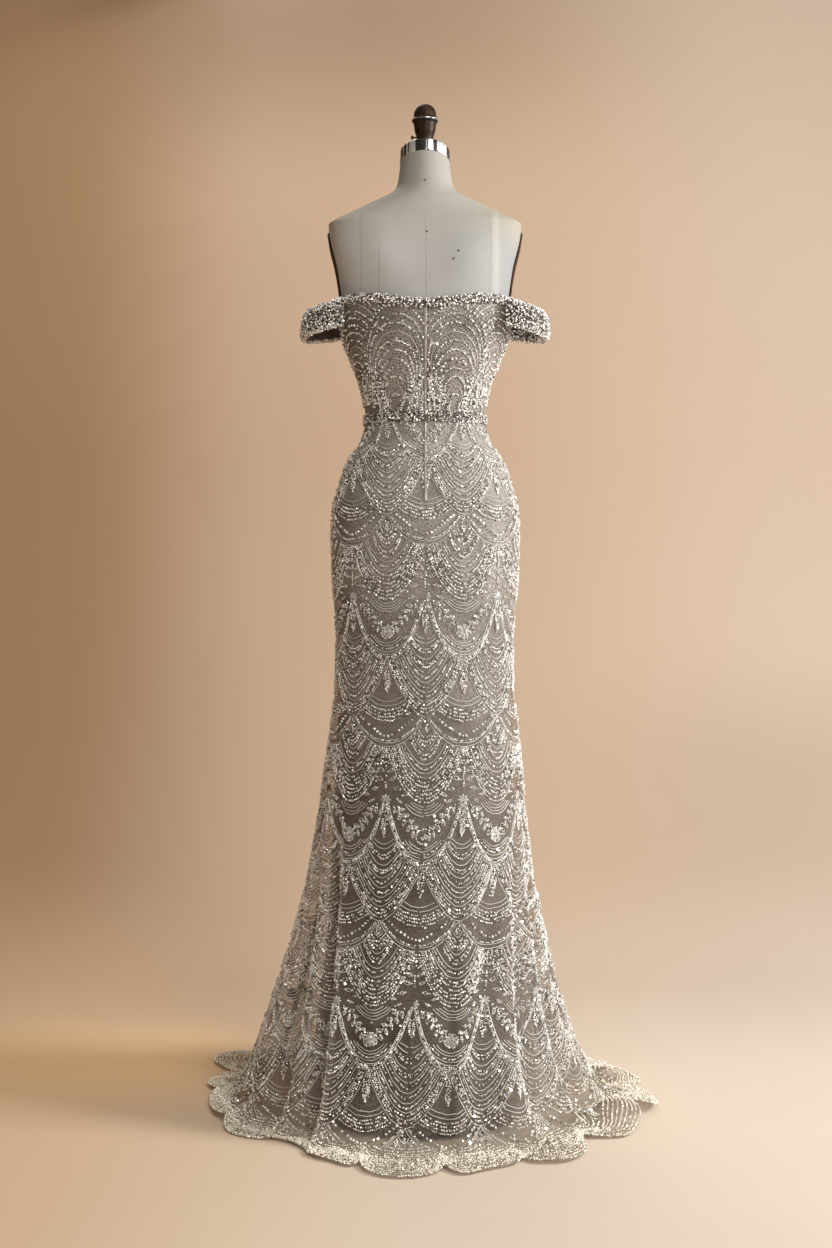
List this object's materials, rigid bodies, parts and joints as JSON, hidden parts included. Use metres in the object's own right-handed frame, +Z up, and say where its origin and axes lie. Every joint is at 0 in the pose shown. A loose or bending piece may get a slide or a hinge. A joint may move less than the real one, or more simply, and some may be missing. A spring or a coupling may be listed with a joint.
{
  "type": "evening gown on dress form",
  "caption": "Floor-length off-shoulder mermaid gown of beaded net over a lining, with sleeve bands, belt and scalloped train, on a limbless dress form with pole and round foot",
  "frame": {"origin": "on the floor, on the axis of the stand's pole, at the centre of the underside of its round foot", "axes": "+Z up; -Y is the gown's back with its zip and the longer train; +Y is its front; +X is on the right of someone who looks at its back"},
  "size_m": [0.8074, 0.8624, 1.776],
  "materials": {
    "beaded_net": "greige net, closely beaded in silver",
    "lining_satin": "taupe satin",
    "bead_trim": "covered in silver beads and stones",
    "zip_tape": "woven tape over a hidden zip",
    "canvas": "off-white canvas stretched over the form",
    "nickel": "polished nickel",
    "dark_wood": "dark varnished, turned",
    "dark_metal": "dark enamel",
    "pole_steel": "brushed tube",
    "cast_iron": "black painted casting"
  },
  "bodies": {
    "root": {"back_zip": "zip_tape", "bodice_back_left": "beaded_net", "bodice_back_right": "beaded_net", "bodice_front": "beaded_net", "form_armplate_left": "dark_metal", "form_armplate_right": "dark_metal", "form_base": "cast_iron", "form_finial": "dark_wood", "form_neck_cap": "nickel", "form_pole": "pole_steel", "form_torso": "canvas", "lining_back": "lining_satin", "lining_front": "lining_satin", "neckline_trim": "bead_trim", "skirt_back_left": "beaded_net", "skirt_back_right": "beaded_net", "skirt_front": "beaded_net", "sleeve_left": "bead_trim", "sleeve_right": "bead_trim", "waist_belt": "bead_trim"}
  },
  "joints": []
}
